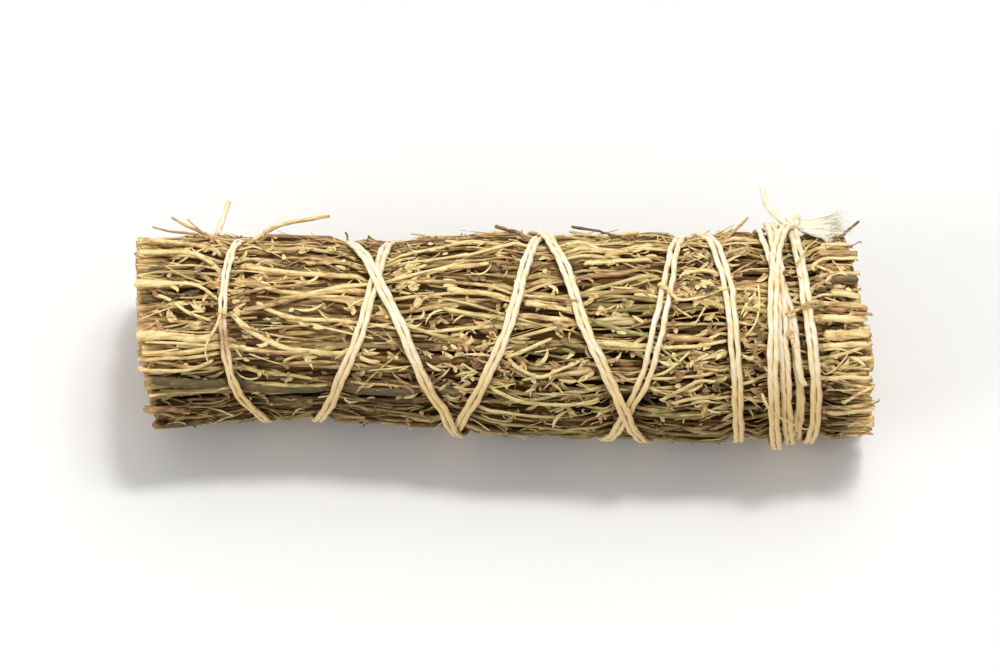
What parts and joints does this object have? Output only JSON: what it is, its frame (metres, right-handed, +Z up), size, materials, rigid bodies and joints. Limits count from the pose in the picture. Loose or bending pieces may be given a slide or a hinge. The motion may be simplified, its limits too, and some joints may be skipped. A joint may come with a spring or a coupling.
{
  "type": "smudge stick",
  "caption": "Bundle of dried herb twigs lying on its side, packed lengthwise, trimmed at one end and bound with doubled cotton string.",
  "frame": {"origin": "on the surface the stick lies on, under the middle of its footprint", "axes": "+X along the stick towards the end with the knot, +Y to the side away from the viewer, +Z up"},
  "size_m": [0.115, 0.0405, 0.0343],
  "materials": {
    "dried_stem": "dull dry bark",
    "cotton_string": "unbleached twisted cotton"
  },
  "bodies": {
    "root": {"binding_string": "cotton_string", "sprig_01": "dried_stem", "sprig_02": "dried_stem", "sprig_03": "dried_stem", "sprig_04": "dried_stem", "sprig_05": "dried_stem", "sprig_06": "dried_stem", "sprig_07": "dried_stem", "sprig_08": "dried_stem", "sprig_09": "dried_stem", "sprig_10": "dried_stem", "sprig_11": "dried_stem", "sprig_12": "dried_stem", "sprig_13": "dried_stem", "sprig_14": "dried_stem", "sprig_15": "dried_stem", "sprig_16": "dried_stem", "sprig_17": "dried_stem", "sprig_18": "dried_stem", "sprig_19": "dried_stem", "sprig_20": "dried_stem", "sprig_21": "dried_stem", "sprig_22": "dried_stem", "sprig_23": "dried_stem", "sprig_24": "dried_stem", "sprig_25": "dried_stem", "sprig_26": "dried_stem", "sprig_27": "dried_stem", "sprig_28": "dried_stem", "sprig_29": "dried_stem", "sprig_30": "dried_stem", "sprig_31": "dried_stem", "sprig_32": "dried_stem", "sprig_33": "dried_stem", "sprig_34": "dried_stem", "sprig_35": "dried_stem", "sprig_36": "dried_stem", "sprig_37": "dried_stem", "sprig_38": "dried_stem", "sprig_39": "dried_stem", "sprig_40": "dried_stem", "sprig_41": "dried_stem", "sprig_42": "dried_stem", "sprig_43": "dried_stem", "sprig_44": "dried_stem", "sprig_45": "dried_stem", "sprig_46": "dried_stem", "sprig_47": "dried_stem", "sprig_48": "dried_stem"}
  },
  "joints": []
}
